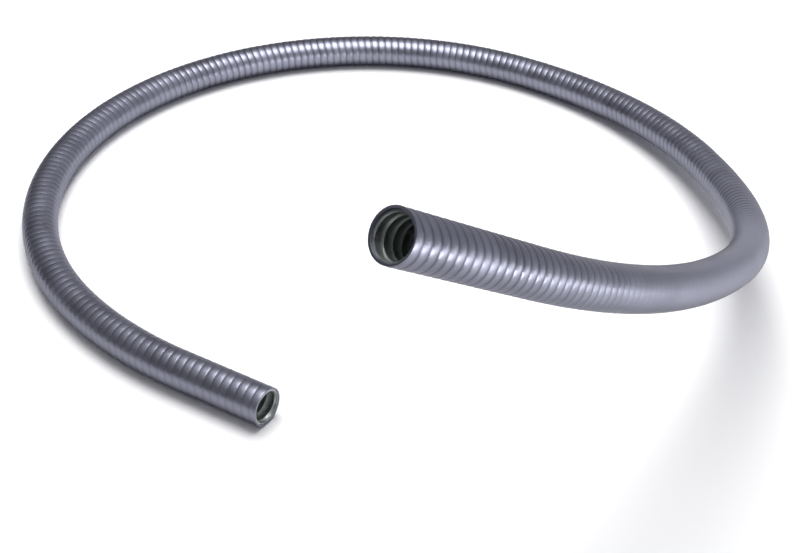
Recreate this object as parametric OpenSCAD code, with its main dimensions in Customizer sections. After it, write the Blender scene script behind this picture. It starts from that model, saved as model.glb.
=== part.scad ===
// Liquidtight flexible conduit: a cut length of strip-wound steel core in a plastic jacket,
// lying on the floor in an open loop with its second end sprung up off the floor.
// Millimetres, +Z up, floor at z = 0, the open side of the loop towards -Y.

/* [Section] */
// Outside diameter of the plastic jacket
jacket_od = 26.4; // [25.8:0.1:30]
// Wall of the plastic jacket
jacket_wall = 1.3; // [0.6:0.1:1.5]
// Clear bore through the steel core
bore_d = 20.9; // [16:0.1:21.8]
// Hairline between the core and the jacket drawn over it
fit_gap = 0.1; // [0.06:0.01:0.2]
// Length of one turn of the wound strip
strip_pitch = 6.2; // [4:0.1:8]
// Width of the sunk band between the strip's turns, seen in the bore
strip_gap = 2.2; // [1:0.1:3]
// Depth of that band
strip_sink = 0.6; // [0.2:0.05:0.8]

/* [Loop on the floor] */
// Heading of the floor end's straight, from +X
heading = 147.3; // [120:0.1:180]
// Straight at the floor end
floor_straight = 72; // [40:1:120]
// Radius of the first, easy bend
lead_radius = 308; // [200:1:500]
// Turn of the first bend
lead_angle = 21; // [5:0.5:40]
// Radius of the tighter bend round the back
back_radius = 247; // [180:1:320]
// Turn of the bend round the back
back_angle = 158.5; // [90:0.5:180]

/* [Raised end] */
// Tilt of the bend down the far side, which leaves the floor
side_tilt = 8.5; // [4:0.5:20]
// Radius of that bend
side_radius = 302; // [200:1:500]
// Turn of that bend
side_angle = 44; // [20:0.5:70]
// Further tilt of the bend round to the front
lift_tilt = 18.5; // [5:0.5:35]
// Radius of the bend round to the front
lift_radius = 336; // [220:1:480]
// Turn of the bend round to the front
lift_angle = 44; // [20:0.5:70]
// Further tilt of the last, slow bend
rise_tilt = 25.5; // [0:0.5:45]
// Radius of the last bend
rise_radius = 737; // [400:1:1200]
// Turn of the last bend
rise_angle = 21.5; // [8:0.5:40]
// Straight at the raised end
raised_straight = 105; // [40:1:160]

/* [Drawing] */
// Part to draw

/* [Hidden] */
$fn = 64;
jacket_r = jacket_od / 2;
core_r = jacket_r - jacket_wall - fit_gap;
bore_r = bore_d / 2;

// Neighbouring stretches lap by this much, every second one thinner in its wall by the step,
// so no two of their faces lie on one another
lap = 1;
step = 0.04;

// The run, stretch by stretch: tilt about the tangent, radius (0 for a straight), angle or length
run = [
    [0, 0, floor_straight],
    [0, lead_radius, lead_angle],
    [0, back_radius, back_angle],
    [side_tilt, side_radius, side_angle],
    [lift_tilt, lift_radius, lift_angle],
    [rise_tilt, rise_radius, rise_angle],
    [0, 0, raised_straight],
];
last = len(run) - 1;

// Centre line as rows of point, tangent and direction to the bend's centre
function tilted(t, s, a) = cos(a) * s - sin(a) * cross(t, s);
function walk(i, p, t, s0) =
    i > last ? [[p, t]] :
    let (r = run[i][1], q = run[i][2], s = tilted(t, s0, run[i][0]))
    r == 0
        ? concat([[p, t]], walk(i + 1, p + q * t, t, s))
        : concat(
            [for (a = [0 : q / 90 : q - 0.001])
                [p + r * ((1 - cos(a)) * s + sin(a) * t), cos(a) * t + sin(a) * s]],
            walk(i + 1, p + r * ((1 - cos(q)) * s + sin(q) * t),
                cos(q) * t + sin(q) * s, cos(q) * s - sin(q) * t));
line = walk(0, [0, 0, jacket_r], [cos(heading), sin(heading), 0], [sin(heading), -cos(heading), 0]);

// Middle of the loop's box in plan, which is brought over the origin
function low(k) = min([for (c = line) c[0][k] - jacket_r * sqrt(max(0, 1 - c[1][k] * c[1][k]))]);
function high(k) = max([for (c = line) c[0][k] + jacket_r * sqrt(max(0, 1 - c[1][k] * c[1][k]))]);
middle = [(low(0) + high(0)) / 2, (low(1) + high(1)) / 2];

// Half section of a straight of wound strip: flush turns with sunk bands between them,
// which keep clear of the lap with the next stretch
function wound(outer, inner, length) =
    let (
        clear = lap + strip_gap,
        turns = floor((length - 2 * clear) / strip_pitch),
        first = (length - (turns - 1) * strip_pitch) / 2)
    concat(
        [[outer, 0], [inner, 0]],
        [for (k = [0 : turns - 1], c = [[0, -1], [1, -0.6], [1, 0.6], [0, 1]])
            [inner + c[0] * strip_sink, first + k * strip_pitch + c[1] * strip_gap / 2]],
        [[inner, length], [outer, length]]);

module ring(outer, inner, i) {
    thin = i % 2 == 1 ? step : 0;
    difference() {
        circle(outer - thin);
        circle(inner + thin);
    }
}

// One stretch, its start at the origin and running up +Z, bending towards -X;
// in a straight of the wound core the turns show in the bore
module stretch(outer, inner, i, winding) {
    r = run[i][1];
    before = i > 0 ? lap : 0;
    after = i < last ? lap : 0;
    if (r == 0) {
        length = run[i][2] + before + after;
        translate([0, 0, -before])
            if (winding)
                rotate_extrude() polygon(wound(outer, inner, length));
            else
                linear_extrude(length) ring(outer, inner, i);
    } else {
        turn = 180 / PI / r;
        translate([-r, 0, 0])
            rotate([90, 0, 0])
                rotate_extrude(start = -before * turn, angle = run[i][2] + (before + after) * turn)
                    translate([r, 0])
                        ring(outer, inner, i);
    }
}

// The stretches one after another, each tangent to the one before
module chain(outer, inner, winding, i = 0) {
    r = run[i][1];
    q = run[i][2];
    rotate([0, 0, -run[i][0]]) {
        stretch(outer, inner, i, winding);
        if (i < last) {
            if (r == 0)
                translate([0, 0, q])
                    chain(outer, inner, winding, i + 1);
            else
                translate([-r, 0, 0])
                    rotate([0, -q, 0])
                        translate([r, 0, 0])
                            chain(outer, inner, winding, i + 1);
        }
    }
}

// Stands the run on the floor at its heading: +Z of the chain along the floor, -X to the right
module laid() {
    translate([-middle[0], -middle[1], jacket_r])
        rotate([0, 0, heading])
            rotate([90, 0, 90])
                children();
}

module pvc_jacket() {
    color("slategray")
        laid()
            chain(jacket_r, jacket_r - jacket_wall, winding = false);
}

module steel_core() {
    color("silver")
        laid()
            chain(core_r, bore_r, winding = true);
}

pvc_jacket();
steel_core();
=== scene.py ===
"""Looks of a cut length of liquidtight flexible conduit lying in an open loop on a pale floor.

The ribbed plastic jacket and the spirally wound steel core are modelled straight, as they leave
the machines, and then laid along the same run of straights and bends that the solids follow.
"""

import logging
import math
from dataclasses import dataclass, field
from enum import Enum

import bmesh
import bpy
from mathutils import Matrix, Vector


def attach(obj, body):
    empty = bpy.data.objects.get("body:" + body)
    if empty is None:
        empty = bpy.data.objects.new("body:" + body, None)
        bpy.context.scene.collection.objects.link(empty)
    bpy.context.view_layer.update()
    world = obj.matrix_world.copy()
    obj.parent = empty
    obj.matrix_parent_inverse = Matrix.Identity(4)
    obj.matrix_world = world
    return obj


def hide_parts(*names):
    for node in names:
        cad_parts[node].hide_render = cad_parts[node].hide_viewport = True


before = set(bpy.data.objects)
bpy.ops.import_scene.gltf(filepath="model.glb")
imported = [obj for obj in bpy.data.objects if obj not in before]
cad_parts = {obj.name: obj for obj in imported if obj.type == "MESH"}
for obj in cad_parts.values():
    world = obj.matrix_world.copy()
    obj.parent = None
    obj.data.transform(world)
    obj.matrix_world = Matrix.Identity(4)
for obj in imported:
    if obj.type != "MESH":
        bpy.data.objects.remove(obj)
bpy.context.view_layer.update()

LOG = logging.getLogger("conduit")
IMAGE_WIDTH_PX = 800.0
SENSOR_MM = 36.0

# Vertex attributes: depth below the crown of a rib or ridge, used to paint shade into the jacket's
# grooves and light into the core's sunk bands, and direction of the run, used to paint shade at
# the edges of the jacket's section
RELIEF = "relief"
RUN = "run"

Colour = tuple[float, float, float]
Place = tuple[float, float, float]
Feed = bpy.types.NodeSocket | Colour | float


class Slot(Enum):
    """Material slots of the record."""

    JACKET = "grey_pvc"
    CORE = "galvanized_steel"


class LampUse(Enum):
    """What a lamp is for."""

    SHADES = "lights the surfaces and throws the shadow, and leaves no glint"
    GLINTS = "shows as a glint, and lights nothing else"


@dataclass(frozen=True)
class Stretch:
    """One stretch of the run, in metres and degrees.

    A straight has a length, and a bend has a radius and an angle. The tilt rolls the plane of the
    bend up about the tangent, counted from the stretch before.
    """

    length: float = 0.0
    radius: float = 0.0
    angle: float = 0.0
    tilt: float = 0.0

    @property
    def run_length(self) -> float:
        """Length along the centre line."""
        return self.length if self.radius == 0 else self.radius * math.radians(self.angle)


@dataclass(frozen=True)
class Station:
    """A place on the centre line with its section frame."""

    point: Vector
    tangent: Vector
    inward: Vector
    across: Vector

    @property
    def up(self) -> Vector:
        """Second direction of the section, square to the tangent and to across."""
        return self.tangent.cross(self.across)

    def place(self, x: float, y: float) -> Vector:
        """Point of the section x along across and y along up."""
        return self.point + self.across * x + self.up * y


@dataclass
class Route:
    """Centre line of the conduit: tangent straights and bends, starting on the floor."""

    STATIONS_PER_METRE = 1e7

    start: Vector = field(default_factory=lambda: Vector((-0.070822, -0.153613, 0.0132)))
    heading: float = 147.3
    stretches: tuple[Stretch, ...] = (
        Stretch(length=0.072),
        Stretch(radius=0.308, angle=21.0),
        Stretch(radius=0.247, angle=158.5),
        Stretch(radius=0.302, angle=44.0, tilt=8.5),
        Stretch(radius=0.336, angle=44.0, tilt=18.5),
        Stretch(radius=0.737, angle=21.5, tilt=25.5),
        Stretch(length=0.105),
    )
    _marks: list[tuple[float, Station]] = field(default_factory=list)

    def __post_init__(self) -> None:
        """Walks the run once and keeps the station where each stretch begins."""
        turn = math.radians(self.heading)
        here = Station(
            self.start.copy(),
            Vector((math.cos(turn), math.sin(turn), 0.0)),
            Vector((math.sin(turn), -math.cos(turn), 0.0)),
            Vector((0.0, 0.0, 1.0)),
        )
        done = 0.0
        for stretch in self.stretches:
            roll = Matrix.Rotation(-math.radians(stretch.tilt), 3, here.tangent)
            here = Station(here.point, here.tangent, roll @ here.inward, here.across)
            self._marks.append((done, here))
            here = self._advance(here, stretch, stretch.run_length)
            done += stretch.run_length

    @property
    def length(self) -> float:
        """Length of the whole run."""
        return sum(stretch.run_length for stretch in self.stretches)

    @staticmethod
    def _advance(here: Station, stretch: Stretch, distance: float) -> Station:
        """Moves along one stretch.

        Args:
            here: Station where the stretch begins.
            stretch: The straight or bend to follow.
            distance: How far to go along it, in metres.

        Returns:
            The station there, its section turned with the bend and not twisted.
        """
        if stretch.radius == 0:
            ahead = here.point + here.tangent * distance
            return Station(ahead, here.tangent, here.inward, here.across)
        angle = distance / stretch.radius
        turn = Matrix.Rotation(angle, 3, here.tangent.cross(here.inward))
        centre = here.point + here.inward * stretch.radius
        return Station(
            centre + turn @ (here.point - centre),
            turn @ here.tangent,
            turn @ here.inward,
            turn @ here.across,
        )

    def at(self, distance: float) -> Station:
        """Station at a distance from the floor end.

        Args:
            distance: Metres along the centre line.

        Returns:
            The station there.
        """
        index = 0
        while index + 1 < len(self._marks) and distance >= self._marks[index + 1][0]:
            index += 1
        begun, here = self._marks[index]
        return self._advance(here, self.stretches[index], distance - begun)

    def points(self, count: int) -> list[Vector]:
        """Evenly spaced points of the centre line, both ends included."""
        return [self.at(self.length * k / (count - 1)).point for k in range(count)]

    def lay(self, bm: bmesh.types.BMesh) -> None:
        """Bends a straight mesh that stands along +Z onto the run, and notes the run's direction.

        Args:
            bm: Mesh whose z is the distance from the floor end.
        """
        stations: dict[int, Station] = {}
        run = bm.verts.layers.float_vector.new(RUN)
        for vert in bm.verts:
            key = round(vert.co.z * self.STATIONS_PER_METRE)
            if key not in stations:
                stations[key] = self.at(vert.co.z)
            vert.co = stations[key].place(vert.co.x, vert.co.y)
            vert[run] = stations[key].tangent


class Winder:
    """Makes the walls of a spirally formed tube along +Z."""

    LEAD_TURNS = 2.0
    SPARE_TURNS = 4
    DOUBLINGS = 5
    WELD = 1e-6
    END_SLACK = 1e-5

    @staticmethod
    def revolve(
        bm: bmesh.types.BMesh,
        line: list[tuple[float, float]],
        sides: int,
        rise: float = 0.0,
    ) -> None:
        """Turns a line of points once round +Z.

        Args:
            bm: Mesh that the wall is added to.
            line: Radius and height of each point, in metres.
            sides: Facets in the turn.
            rise: How far the turn climbs, in metres; the wall is closed where it doesn't climb.
        """
        verts = [bm.verts.new((radius, 0.0, height)) for radius, height in line]
        edges = [bm.edges.new(pair) for pair in zip(verts, verts[1:])]
        bmesh.ops.spin(
            bm,
            geom=verts + edges,
            cent=(0.0, 0.0, 0.0),
            axis=(0.0, 0.0, 1.0),
            dvec=(0.0, 0.0, rise / sides),
            angle=math.tau,
            steps=sides,
            use_merge=rise == 0.0,
        )

    @staticmethod
    def copy_along(bm: bmesh.types.BMesh, geom: list, distance: float) -> None:
        """Copies part of a mesh along +Z.

        Args:
            bm: The mesh.
            geom: Vertices, edges and faces to copy.
            distance: How far the copy goes, in metres.
        """
        copy = bmesh.ops.duplicate(bm, geom=geom)["geom"]
        moved = [item for item in copy if isinstance(item, bmesh.types.BMVert)]
        bmesh.ops.translate(bm, verts=moved, vec=(0.0, 0.0, distance))

    @staticmethod
    def skin(
        bm: bmesh.types.BMesh,
        profile: list[tuple[float, float]],
        pitch: float,
        length: float,
        sides: int,
    ) -> None:
        """Winds the profile and cuts the wound wall square at both ends.

        Args:
            bm: Mesh that the wall is added to; it holds nothing else yet.
            profile: Radius and share of the pitch, from 0 to 1, of the points of one turn.
            pitch: Length of one turn, in metres.
            length: Length of the tube, in metres.
            sides: Facets in one turn.
        """
        line = [(radius, (share - Winder.LEAD_TURNS) * pitch) for radius, share in profile]
        Winder.revolve(bm, line, sides, rise=pitch)
        turns = math.ceil(length / pitch) + Winder.SPARE_TURNS
        block = math.ceil(turns / 2**Winder.DOUBLINGS)
        turn = bm.verts[:] + bm.edges[:] + bm.faces[:]
        for number in range(1, block):
            Winder.copy_along(bm, turn, number * pitch)
        for doubling in range(Winder.DOUBLINGS):
            wound = bm.verts[:] + bm.edges[:] + bm.faces[:]
            Winder.copy_along(bm, wound, block * 2**doubling * pitch)
        bmesh.ops.remove_doubles(bm, verts=bm.verts[:], dist=Winder.WELD)
        for height, side in ((0.0, -1.0), (length, 1.0)):
            bmesh.ops.bisect_plane(
                bm,
                geom=bm.verts[:] + bm.edges[:] + bm.faces[:],
                dist=Winder.WELD,
                plane_co=(0.0, 0.0, height),
                plane_no=(0.0, 0.0, side),
                clear_outer=True,
            )

    @staticmethod
    def plain_wall(
        bm: bmesh.types.BMesh, radius: float, length: float, sides: int, rows: int
    ) -> None:
        """Adds a smooth wall along +Z.

        Args:
            bm: Mesh that the wall is added to.
            radius: Radius of the wall, in metres.
            length: Length of the wall, in metres.
            sides: Facets round it.
            rows: Facets along it, so that it can bend.
        """
        Winder.revolve(bm, [(radius, length * k / rows) for k in range(rows + 1)], sides)

    @staticmethod
    def close_end(bm: bmesh.types.BMesh, height: float) -> None:
        """Joins the outer and inner walls with the cut face of one end.

        Args:
            bm: Mesh with both walls.
            height: Distance of the end along +Z, in metres.
        """
        rim = [
            edge
            for edge in bm.edges
            if edge.is_boundary
            and all(abs(vert.co.z - height) < Winder.END_SLACK for vert in edge.verts)
        ]
        bmesh.ops.triangle_fill(bm, use_beauty=True, edges=rim, normal=(0.0, 0.0, 1.0))
        for edge in rim:
            edge.smooth = False


@dataclass(frozen=True)
class Mottle:
    """Soft unevenness of a surface: how fine it is and how many finer levels it has."""

    scale: float
    detail: float


class Nodes:
    """Short ways to add and join the nodes of one tree."""

    def __init__(self, tree: bpy.types.NodeTree) -> None:
        """Takes the tree that the nodes go into.

        Args:
            tree: Node tree of a material, a world or a group.
        """
        self.tree = tree

    def add(self, kind: str, **settings: object) -> bpy.types.Node:
        """Adds a node.

        Args:
            kind: Blender's name of the node type.
            **settings: Properties to set on it.

        Returns:
            The new node.
        """
        node = self.tree.nodes.new(kind)
        for key, value in settings.items():
            setattr(node, key, value)
        return node

    def feed(self, end: bpy.types.NodeSocket, value: Feed) -> None:
        """Joins a socket to an input, or sets the input.

        Args:
            end: The input.
            value: Socket to join to it, or its colour or number.
        """
        if isinstance(value, bpy.types.NodeSocket):
            self.tree.links.new(value, end)
        elif isinstance(value, tuple):
            end.default_value = (*value, 1.0)
        else:
            end.default_value = value

    def mix(
        self, first: Feed, second: Feed, share: Feed, blend: str = "MIX"
    ) -> bpy.types.NodeSocket:
        """Mixes two colours.

        Args:
            first: The colour where the share is 0.
            second: The colour that it is mixed with.
            share: How far it is mixed, from 0 to 1.
            blend: Blender's name of the way they are mixed.

        Returns:
            The mixed colour.
        """
        node = self.add("ShaderNodeMix", data_type="RGBA", blend_type=blend)
        for key, value in (("A", first), ("B", second), ("Factor", share)):
            self.feed(node.inputs[key], value)
        return node.outputs["Result"]

    def spread(
        self, value: Feed, low: float, high: float, start: float = 0.0, stop: float = 1.0
    ) -> bpy.types.NodeSocket:
        """Maps a value from one range onto another, and holds it inside that.

        Args:
            value: The value.
            low: Lower end of the new range.
            high: Upper end of the new range.
            start: Lower end of the old range.
            stop: Upper end of the old range.

        Returns:
            The value in the new range.
        """
        node = self.add("ShaderNodeMapRange")
        keys = ("Value", "From Min", "From Max", "To Min", "To Max")
        for key, number in zip(keys, (value, start, stop, low, high)):
            self.feed(node.inputs[key], number)
        return node.outputs["Result"]

    def calculate(self, operation: str, first: Feed, second: Feed) -> bpy.types.NodeSocket:
        """Calculates with two numbers.

        Args:
            operation: Blender's name of the operation.
            first: The first number.
            second: The second number.

        Returns:
            The result.
        """
        node = self.add("ShaderNodeMath", operation=operation)
        self.feed(node.inputs[0], first)
        self.feed(node.inputs[1], second)
        return node.outputs["Value"]

    def vector(self, operation: str, *values: bpy.types.NodeSocket) -> bpy.types.Node:
        """Calculates with vectors.

        Args:
            operation: Blender's name of the operation.
            *values: Vectors that it takes.

        Returns:
            The node, which puts out a Vector or a Value.
        """
        node = self.add("ShaderNodeVectorMath", operation=operation)
        for end, value in zip(node.inputs, values):
            self.feed(end, value)
        return node

    def mottle(self, pattern: Mottle) -> bpy.types.NodeSocket:
        """Adds soft unevenness.

        Args:
            pattern: How fine it is.

        Returns:
            A mask from 0 to 1.
        """
        coords = self.add("ShaderNodeTexCoord")
        node = self.add("ShaderNodeGroup", node_tree=mottle_group())
        self.feed(node.inputs["Vector"], coords.outputs["Object"])
        self.feed(node.inputs["Scale"], pattern.scale)
        self.feed(node.inputs["Detail"], pattern.detail)
        return node.outputs["Mask"]


class MaterialNodes(Nodes):
    """A new material with its Principled surface."""

    def __init__(self, name: str) -> None:
        """Makes an empty material with one Principled surface.

        Args:
            name: Name of the material.
        """
        self.material = bpy.data.materials.new(name)
        self.material.use_nodes = True
        super().__init__(self.material.node_tree)

    def finished(self, inputs: dict[str, Feed]) -> bpy.types.Material:
        """Sets the surface.

        Args:
            inputs: What goes into the Principled surface, by the names of its inputs.

        Returns:
            The material.
        """
        surface = self.tree.nodes["Principled BSDF"]
        for key, value in inputs.items():
            self.feed(surface.inputs[key], value)
        return self.material


def mottle_group(name: str = "mottle", low: float = 0.3, high: float = 0.7) -> bpy.types.NodeTree:
    """Node group of soft unevenness, shared by the finishes.

    Args:
        name: Name of the group.
        low: Noise that gives a mask of 0.
        high: Noise that gives a mask of 1.

    Returns:
        A group with a Vector, a Scale and a Detail, which puts out a Mask from 0 to 1.
    """
    if name in bpy.data.node_groups:
        return bpy.data.node_groups[name]
    tree = bpy.data.node_groups.new(name, "ShaderNodeTree")
    kinds = {"Vector": "NodeSocketVector", "Scale": "NodeSocketFloat", "Detail": "NodeSocketFloat"}
    for key, kind in kinds.items():
        tree.interface.new_socket(key, in_out="INPUT", socket_type=kind)
    tree.interface.new_socket("Mask", in_out="OUTPUT", socket_type="NodeSocketFloat")
    nodes = Nodes(tree)
    start = nodes.add("NodeGroupInput")
    noise = nodes.add("ShaderNodeTexNoise")
    for key in kinds:
        nodes.feed(noise.inputs[key], start.outputs[key])
    mask = nodes.spread(noise.outputs["Fac"], 0.0, 1.0, start=low, stop=high)
    nodes.feed(nodes.add("NodeGroupOutput").inputs["Mask"], mask)
    return tree


@dataclass(frozen=True)
class PlasticFinish:
    """Satin blue-grey plastic with the photo's sheen, darker in its grooves and at its edges."""

    name: str = "satin_grey_pvc"
    colour: Colour = (0.315, 0.32, 0.395)
    # painted shade: darker colour of the grooves, taken in full at their bottom
    groove_shade_colour: Colour = (0.13, 0.13, 0.17)
    rim_tint: Colour = (0.88, 0.88, 0.93)
    # painted shade: share of the colour left at the edge of the section, darkening it towards the
    # silhouette
    edge_shade_share: float = 0.28
    metallic: float = 0.9
    smoothest: float = 0.32
    roughest: float = 0.45
    mottle: Mottle = Mottle(scale=38.0, detail=5.0)
    darkest: float = 0.88
    lightest: float = 1.12
    grain: Mottle = Mottle(scale=900.0, detail=3.0)
    grain_strength: float = 0.12
    grain_height: float = 0.0002

    @staticmethod
    def facing(nodes: Nodes) -> bpy.types.NodeSocket:
        """How squarely the round section faces the viewer, which sets the painted shade towards
        its edges.

        Only the section counts, so a stretch that runs towards the viewer isn't all edge.

        Args:
            nodes: Nodes of the material.

        Returns:
            A share from 0 at the edge of the section to 1 in its middle.
        """
        run = nodes.add("ShaderNodeAttribute", attribute_name=RUN)
        sight = nodes.add("ShaderNodeNewGeometry")
        square = nodes.vector("DOT_PRODUCT", sight.outputs["Incoming"], sight.outputs["Normal"])
        lever = nodes.vector("CROSS_PRODUCT", sight.outputs["Incoming"], run.outputs["Vector"])
        widest = nodes.vector("LENGTH", lever.outputs["Vector"])
        return nodes.calculate("DIVIDE", square.outputs["Value"], widest.outputs["Value"])

    def material(self) -> bpy.types.Material:
        """Builds the material.

        Returns:
            The material.
        """
        nodes = MaterialNodes(self.name)
        relief = nodes.add("ShaderNodeAttribute", attribute_name=RELIEF)
        mottle = nodes.mottle(self.mottle)
        # painted shade in the grooves, by the depth share in the relief attribute
        ribbed = nodes.mix(self.colour, self.groove_shade_colour, relief.outputs["Fac"])
        uneven = nodes.spread(mottle, self.darkest, self.lightest)
        mottled = nodes.mix(ribbed, uneven, 1.0, "MULTIPLY")
        # painted shade towards the edges of the section, from full colour where it faces the
        # viewer
        turned = nodes.spread(self.facing(nodes), self.edge_shade_share, 1.0)
        bump = nodes.add("ShaderNodeBump")
        nodes.feed(bump.inputs["Strength"], self.grain_strength)
        nodes.feed(bump.inputs["Distance"], self.grain_height)
        nodes.feed(bump.inputs["Height"], nodes.mottle(self.grain))
        return nodes.finished(
            {
                "Base Color": nodes.mix(mottled, turned, 1.0, "MULTIPLY"),
                "Metallic": self.metallic,
                "Specular Tint": self.rim_tint,
                "Roughness": nodes.spread(mottle, self.smoothest, self.roughest),
                "Normal": bump.outputs["Normal"],
            }
        )


@dataclass(frozen=True)
class SteelFinish:
    """Dull galvanized strip, with a faint spangle, and painted light that makes its sunk bands
    lighter than its crests.
    """

    name: str = "galvanized_strip"
    colour: Colour = (0.50, 0.52, 0.51)
    dull_colour: Colour = (0.38, 0.40, 0.395)
    # painted light: sunk bands lighter than the crests, to lift the shade deep in the bore
    sunk_light_colour: Colour = (0.50, 0.54, 0.52)
    metallic: float = 0.88
    smoothest: float = 0.34
    roughest: float = 0.52
    spangle: Mottle = Mottle(scale=420.0, detail=4.0)

    def material(self) -> bpy.types.Material:
        """Builds the material.

        Returns:
            The material.
        """
        nodes = MaterialNodes(self.name)
        relief = nodes.add("ShaderNodeAttribute", attribute_name=RELIEF)
        spangle = nodes.mottle(self.spangle)
        flush = nodes.mix(self.dull_colour, self.colour, spangle)
        return nodes.finished(
            {
                # painted light in the sunk bands, by their depth share
                "Base Color": nodes.mix(flush, self.sunk_light_colour, relief.outputs["Fac"]),
                "Metallic": self.metallic,
                "Roughness": nodes.spread(spangle, self.smoothest, self.roughest),
            }
        )


@dataclass(frozen=True)
class FloorFinish:
    """Floor that shows as plain white to the camera, less so in reflections, and keeps shadows."""

    name: str = "white_floor"
    colour: Colour = (0.80, 0.80, 0.805)
    shown_colour: Colour = (1.12, 1.12, 1.12)
    mirrored_share: float = 0.6
    roughness: float = 0.9

    def material(self) -> bpy.types.Material:
        """Builds the material.

        Returns:
            The material.
        """
        nodes = MaterialNodes(self.name)
        path = nodes.add("ShaderNodeLightPath").outputs
        mirrored = nodes.calculate("MULTIPLY", path["Is Glossy Ray"], self.mirrored_share)
        seen = nodes.calculate("MAXIMUM", path["Is Camera Ray"], mirrored)
        shown = nodes.calculate("MAXIMUM", seen, path["Is Transmission Ray"])
        return nodes.finished(
            {
                "Base Color": nodes.mix(self.colour, self.shown_colour, shown),
                "Roughness": self.roughness,
                "Specular IOR Level": 0.0,
            }
        )


def finished_piece(
    bm: bmesh.types.BMesh, name: str, material: bpy.types.Material
) -> bpy.types.Object:
    """Turns a mesh into a smooth-shaded object at the origin.

    Args:
        bm: The mesh, which is freed.
        name: Name of the piece.
        material: Its finish.

    Returns:
        The new object, linked into the scene.
    """
    bmesh.ops.recalc_face_normals(bm, faces=bm.faces[:])
    mesh = bpy.data.meshes.new(name)
    bm.to_mesh(mesh)
    bm.free()
    mesh.materials.append(material)
    mesh.shade_smooth()
    piece = bpy.data.objects.new(name, mesh)
    bpy.context.scene.collection.objects.link(piece)
    return piece


@dataclass
class RibbedJacket:
    """The extruded plastic jacket, ribbed where it is drawn over the turns of the strip.

    The crown steps are the points across one rib, from groove to groove. The relief marks are
    distances from the floor end, in metres, each with the share of the full relief there.
    """

    route: Route
    finish: PlasticFinish = PlasticFinish()
    outer_radius: float = 0.0132
    wall: float = 0.0013
    rib_pitch: float = 0.0062
    groove: float = 0.00050
    crown_power: float = 2.8
    crown_steps: tuple[float, ...] = (-1.0, -0.88, -0.7, -0.42, 0.0, 0.42, 0.7, 0.88, 1.0)
    shade_power: float = 1.25
    sides: int = 36
    rows: int = 220
    path_points: int = 160
    relief_marks: tuple[tuple[float, float], ...] = (
        (0.00, 0.40),
        (0.15, 0.45),
        (0.25, 0.66),
        (0.38, 0.64),
        (0.48, 0.50),
        (0.62, 0.82),
        (0.75, 0.80),
        (0.88, 0.58),
        (0.96, 0.58),
        (1.08, 0.80),
        (1.22, 0.72),
        (1.31, 0.12),
        (1.52, 0.12),
        (1.67, 0.88),
        (1.75, 0.88),
    )

    def profile(self) -> list[tuple[float, float]]:
        """Section of one rib, from groove to groove.

        Returns:
            Radius and share of the pitch of each point.
        """
        return [
            (self.outer_radius - self.groove * abs(step) ** self.crown_power, (step + 1) / 2)
            for step in self.crown_steps
        ]

    def relief_at(self, distance: float) -> float:
        """Share of the full relief, less where a bend has drawn the ribs smooth.

        Args:
            distance: Metres from the floor end.

        Returns:
            The share, eased from mark to mark.
        """
        for (begun, first), (ended, second) in zip(self.relief_marks, self.relief_marks[1:]):
            if distance <= ended:
                share = max(0.0, (distance - begun) / (ended - begun))
                return first + (second - first) * share * share * (3 - 2 * share)
        return self.relief_marks[-1][1]

    def build(self) -> bpy.types.Object:
        """Winds the ribbed wall, closes it and lays it along the run.

        Returns:
            The jacket.
        """
        length = self.route.length
        bm = bmesh.new()
        Winder.skin(bm, self.profile(), self.rib_pitch, length, self.sides)
        relief = bm.verts.layers.float.new(RELIEF)
        for vert in bm.verts:
            flat = Vector((vert.co.x, vert.co.y))
            drop = (self.outer_radius - flat.length) * self.relief_at(vert.co.z)
            # share of painted shade in the grooves, from their depth below the crown
            vert[relief] = min(1.0, max(0.0, drop / self.groove)) ** self.shade_power
            flat *= (self.outer_radius - drop) / flat.length
            vert.co.x, vert.co.y = flat
        Winder.plain_wall(bm, self.outer_radius - self.wall, length, self.sides, self.rows)
        for height in (0.0, length):
            Winder.close_end(bm, height)
        self.route.lay(bm)
        return finished_piece(bm, "ribbed_jacket", self.finish.material())

    def dress(self, piece: bpy.types.Object) -> None:
        """Gives the jacket its place in the part.

        Args:
            piece: The jacket.
        """
        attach(piece, "root")
        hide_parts("pvc_jacket")
        self.route.length
        [tuple(point) for point in self.route.points(self.path_points)]


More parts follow.
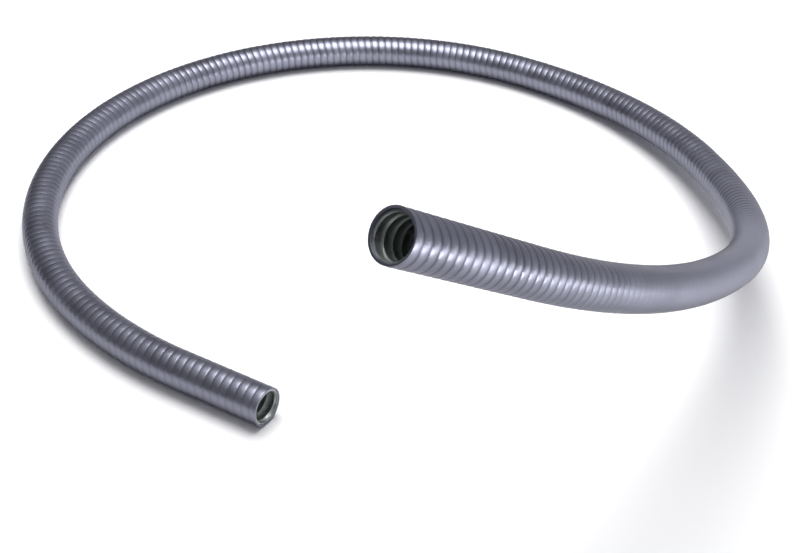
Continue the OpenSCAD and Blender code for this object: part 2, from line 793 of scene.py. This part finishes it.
@dataclass
class WoundCore:
    """The interlocked steel strip inside the jacket, wound in a spiral.

    Each turn is a narrow flush crest, a steep foot and a wide sunk band. The shares count from
    the start of the crest along the pitch.
    """

    route: Route
    finish: SteelFinish = SteelFinish()
    outer_radius: float = 0.0118
    bore_radius: float = 0.01045
    strip_pitch: float = 0.0062
    sink: float = 0.0006
    crest_share: float = 0.06
    foot_share: float = 0.11
    foot_rise: float = 0.00005
    middle_share: float = 0.5
    flank_share: float = 0.93
    floor_setback: float = 0.0004
    raised_setback: float = 0.0012
    sides: int = 32
    rows: int = 160

    def profile(self) -> list[tuple[float, float]]:
        """Section of one turn, seen from the bore.

        Returns:
            Radius and share of the pitch of each point.
        """
        sunk = self.bore_radius + self.sink
        return [
            (self.bore_radius, 0.0),
            (self.bore_radius, self.crest_share),
            (sunk - self.foot_rise, self.foot_share),
            (sunk, self.middle_share),
            (sunk, self.flank_share),
            (self.bore_radius, 1.0),
        ]

    def build(self) -> bpy.types.Object:
        """Winds the strip, closes it and lays it along the run.

        Returns:
            The core.
        """
        length = self.route.length - self.floor_setback - self.raised_setback
        bm = bmesh.new()
        Winder.skin(bm, self.profile(), self.strip_pitch, length, self.sides)
        relief = bm.verts.layers.float.new(RELIEF)
        for vert in bm.verts:
            depth = Vector((vert.co.x, vert.co.y)).length - self.bore_radius
            # share of painted light in the sunk bands, from their depth below the crest
            vert[relief] = max(0.0, min(1.0, depth / self.sink))
        Winder.plain_wall(bm, self.outer_radius, length, self.sides, self.rows)
        for height in (0.0, length):
            Winder.close_end(bm, height)
        bmesh.ops.translate(bm, verts=bm.verts[:], vec=(0.0, 0.0, self.floor_setback))
        self.route.lay(bm)
        return finished_piece(bm, "wound_strip_core", self.finish.material())

    def dress(self, piece: bpy.types.Object) -> None:
        """Gives the core its place in the part.

        Args:
            piece: The core.
        """
        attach(piece, "root")
        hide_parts("steel_core")


@dataclass(frozen=True)
class SoftBox:
    """A flat rectangular lamp, in metres and watts."""

    name: str
    place: Place
    target: Place
    width: float
    height: float
    watts: float
    use: LampUse = LampUse.GLINTS

    def build(self) -> bpy.types.Object:
        """Hangs the lamp and turns it to its target.

        Returns:
            The lamp.
        """
        light = bpy.data.lights.new(self.name, "AREA")
        light.shape = "RECTANGLE"
        light.size, light.size_y = self.width, self.height
        light.energy = self.watts
        lamp = bpy.data.objects.new(self.name, light)
        lamp.location = self.place
        aim = Vector(self.target) - Vector(self.place)
        lamp.rotation_euler = aim.to_track_quat("-Z", "Y").to_euler()
        lamp.visible_diffuse = self.use is LampUse.SHADES
        lamp.visible_glossy = self.use is LampUse.GLINTS
        bpy.context.scene.collection.objects.link(lamp)
        return lamp


@dataclass
class Studio:
    """Floor, lamps, surroundings and camera.

    The surroundings go from the left colour to the right one, and to the ceiling's overhead.
    """

    floor_finish: FloorFinish = FloorFinish()
    floor_radius: float = 0.66
    floor_middle: tuple[float, float] = (0.24, 0.06)
    floor_sides: int = 96
    focal_px: float = 1466.0
    near_clip: float = 0.01
    camera_place: Place = (0.0087, -0.8679, 0.6078)
    camera_pitch: float = 34.68
    camera_yaw: float = 0.317
    camera_roll: float = 0.224
    left_colour: Colour = (0.07, 0.07, 0.08)
    right_colour: Colour = (0.36, 0.36, 0.39)
    ceiling_colour: Colour = (0.56, 0.56, 0.57)
    ceiling_from: float = 0.6
    backdrop_colour: Colour = (1.0, 1.0, 1.0)
    lamps: tuple[SoftBox, ...] = (
        SoftBox(
            "key_box", (-0.03, 0.70, 2.60), (0.0, 0.02, 0.0), 2.0, 2.0, 68.0, LampUse.SHADES
        ),
        SoftBox("top_box", (0.01, 0.03, 1.35), (0.01, 0.03, 0.0), 0.80, 1.0, 17.0),
        SoftBox("side_panel", (0.52, -0.42, 0.045), (0.0, -0.34, 0.2), 0.5, 0.08, 0.56),
        SoftBox("back_panel", (0.25, 1.10, 0.13), (0.25, 0.0, 0.1), 1.6, 0.24, 0.65),
        SoftBox("low_panel", (0.52, -0.62, 0.06), (-0.10, 0.34, 0.02), 0.30, 0.09, 1.3),
    )

    def build_floor(self) -> bpy.types.Object:
        """Makes the round floor that the conduit lies on.

        Returns:
            The floor.
        """
        bm = bmesh.new()
        bmesh.ops.create_circle(
            bm, cap_ends=True, segments=self.floor_sides, radius=self.floor_radius
        )
        bmesh.ops.translate(bm, verts=bm.verts[:], vec=(*self.floor_middle, 0.0))
        floor = finished_piece(bm, "floor", self.floor_finish.material())
        return floor

    def build_world(self) -> None:
        """Sets dim surroundings that show as white behind the floor."""
        world = bpy.data.worlds.new("studio")
        world.use_nodes = True
        nodes = Nodes(world.node_tree)
        coords = nodes.add("ShaderNodeTexCoord")
        split = nodes.add("ShaderNodeSeparateXYZ")
        nodes.feed(split.inputs["Vector"], coords.outputs["Generated"])
        aside = nodes.spread(split.outputs["X"], 0.0, 1.0, start=-1.0)
        overhead = nodes.spread(split.outputs["Z"], 0.0, 1.0, start=self.ceiling_from)
        walls = nodes.mix(self.left_colour, self.right_colour, aside)
        dome = nodes.mix(walls, self.ceiling_colour, overhead)
        path = nodes.add("ShaderNodeLightPath")
        seen = nodes.mix(dome, self.backdrop_colour, path.outputs["Is Camera Ray"])
        nodes.feed(nodes.tree.nodes["Background"].inputs["Color"], seen)
        bpy.context.scene.world = world

    def build_camera(self) -> bpy.types.Object:
        """Stands the camera where the photograph was taken from.

        Returns:
            The camera.
        """
        data = bpy.data.cameras.new("camera")
        data.sensor_fit = "HORIZONTAL"
        data.sensor_width = SENSOR_MM
        data.lens = SENSOR_MM * self.focal_px / IMAGE_WIDTH_PX
        data.clip_start = self.near_clip
        camera = bpy.data.objects.new("camera", data)
        camera.location = self.camera_place
        yaw = Matrix.Rotation(math.radians(-self.camera_yaw), 3, "Z")
        pitch = Matrix.Rotation(math.radians(90.0 - self.camera_pitch), 3, "X")
        roll = Matrix.Rotation(math.radians(self.camera_roll), 3, "Z")
        camera.rotation_euler = (yaw @ pitch @ roll).to_euler()
        bpy.context.scene.collection.objects.link(camera)
        bpy.context.scene.camera = camera
        return camera

    def build(self) -> None:
        """Builds the whole studio."""
        self.build_camera()
        self.build_floor()
        self.build_world()
        for lamp in self.lamps:
            lamp.build()
        bpy.context.scene.view_settings.view_transform = "Standard"


def main() -> None:
    """Builds the studio and the two pieces of the conduit."""
    logging.basicConfig(level=logging.INFO, format="%(message)s")
    Studio().build()
    route = Route()
    for maker in (RibbedJacket(route), WoundCore(route)):
        piece = maker.build()
        maker.dress(piece)
        LOG.info("%s: %d faces", piece.name, len(piece.data.polygons))
    LOG.info("centre line %.3f m", route.length)


if __name__ == "__main__":
    main()
